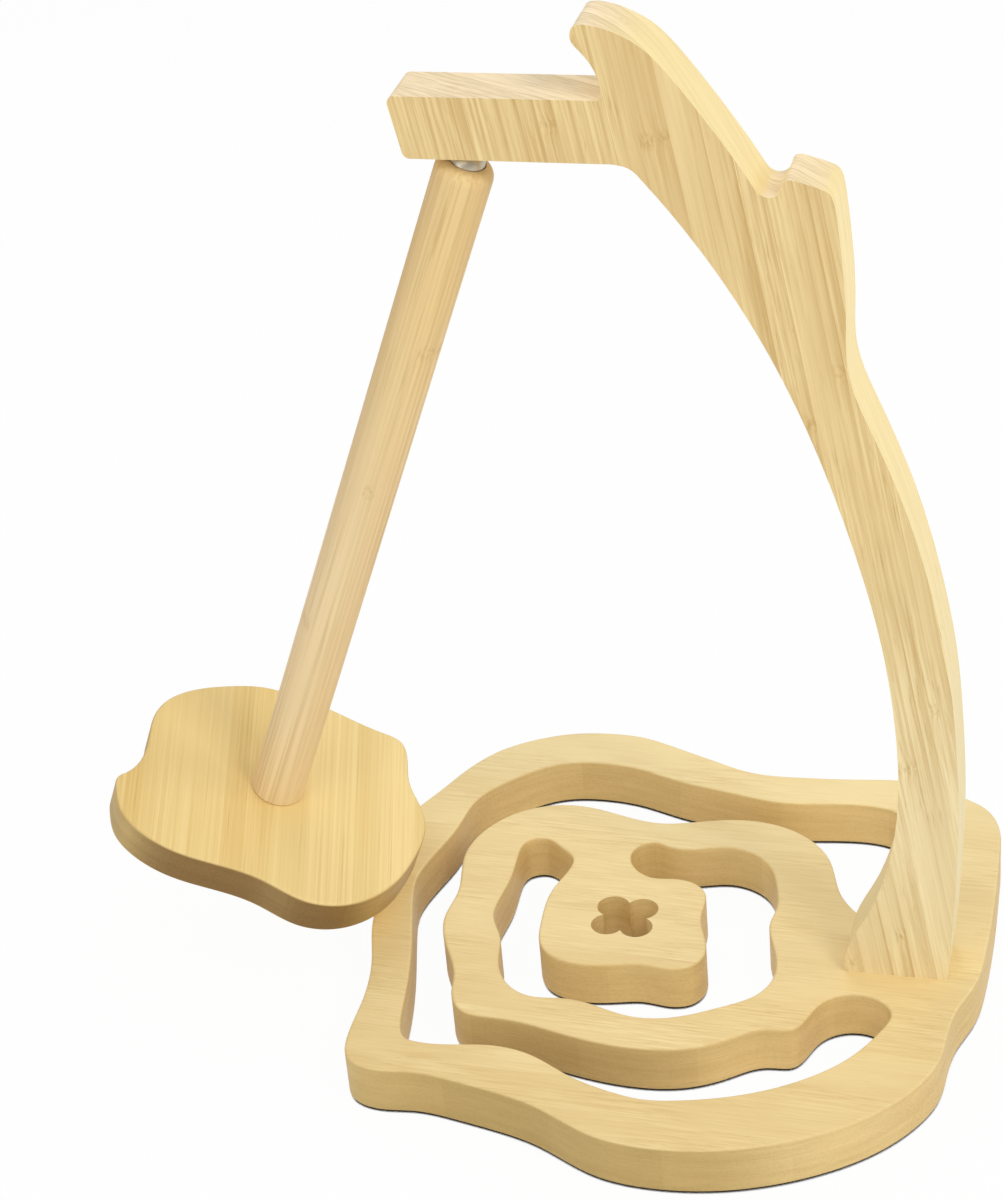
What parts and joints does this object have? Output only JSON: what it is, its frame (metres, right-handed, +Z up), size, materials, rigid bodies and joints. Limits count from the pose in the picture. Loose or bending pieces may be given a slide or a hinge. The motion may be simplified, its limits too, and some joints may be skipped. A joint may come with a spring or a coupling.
{
  "type": "yarn holder",
  "caption": "Bamboo yarn holder: pierced base, curved arm with a leaf crest, and a plate on a rod that hangs and turns on a magnetic ball joint.",
  "frame": {"origin": "on the table plane, under the middle foot pad of the base", "axes": "+Z up, +X towards the arm's foot, +Y to the back, parallel to the arm's board"},
  "size_m": [0.2612, 0.1943, 0.3047],
  "materials": {
    "base_bamboo": "satin bamboo, grain along X",
    "arm_bamboo": "satin bamboo, steep grain",
    "plate_bamboo": "satin bamboo, fine grain along Y",
    "rod_wood": "satin bamboo dowel",
    "ball_steel": "polished steel",
    "magnet_nickel": "nickel plated",
    "screw_steel": "zinc plated",
    "insert_brass": "turned brass",
    "pad_rubber": "matt rubber"
  },
  "bodies": {
    "stand": {"base_board": "base_bamboo", "arm": "arm_bamboo", "arm_magnet": "magnet_nickel", "arm_screw_1": "screw_steel", "arm_insert_1": "insert_brass", "arm_screw_2": "screw_steel", "arm_insert_2": "insert_brass", "foot_pad_1": "pad_rubber", "foot_pad_2": "pad_rubber", "foot_pad_3": "pad_rubber", "foot_pad_4": "pad_rubber", "foot_pad_5": "pad_rubber", "foot_pad_6": "pad_rubber"},
    "ball": {"pivot_ball": "ball_steel"},
    "swivel": {"rod_magnet": "magnet_nickel"},
    "spindle": {"spindle_rod": "rod_wood", "rod_insert": "insert_brass", "yarn_plate": "plate_bamboo", "plate_screw": "screw_steel"}
  },
  "joints": [
    {"name": "swing_side", "type": "hinge", "parent": "stand", "child": "ball", "pos_m": [-0.0259, 0.0083, 0.2632], "axis": [0, 1, 0], "range_deg": [-31, 8]},
    {"name": "swing_front", "type": "hinge", "parent": "ball", "child": "swivel", "pos_m": [-0.0259, 0.0083, 0.2632], "axis": [0.9344, 0, -0.3562], "range_deg": [-25, 19]},
    {"name": "spin", "type": "hinge", "parent": "swivel", "child": "spindle", "pos_m": [-0.0259, 0.0083, 0.2632], "axis": [0.3558, -0.0478, 0.9333], "continuous": true}
  ]
}
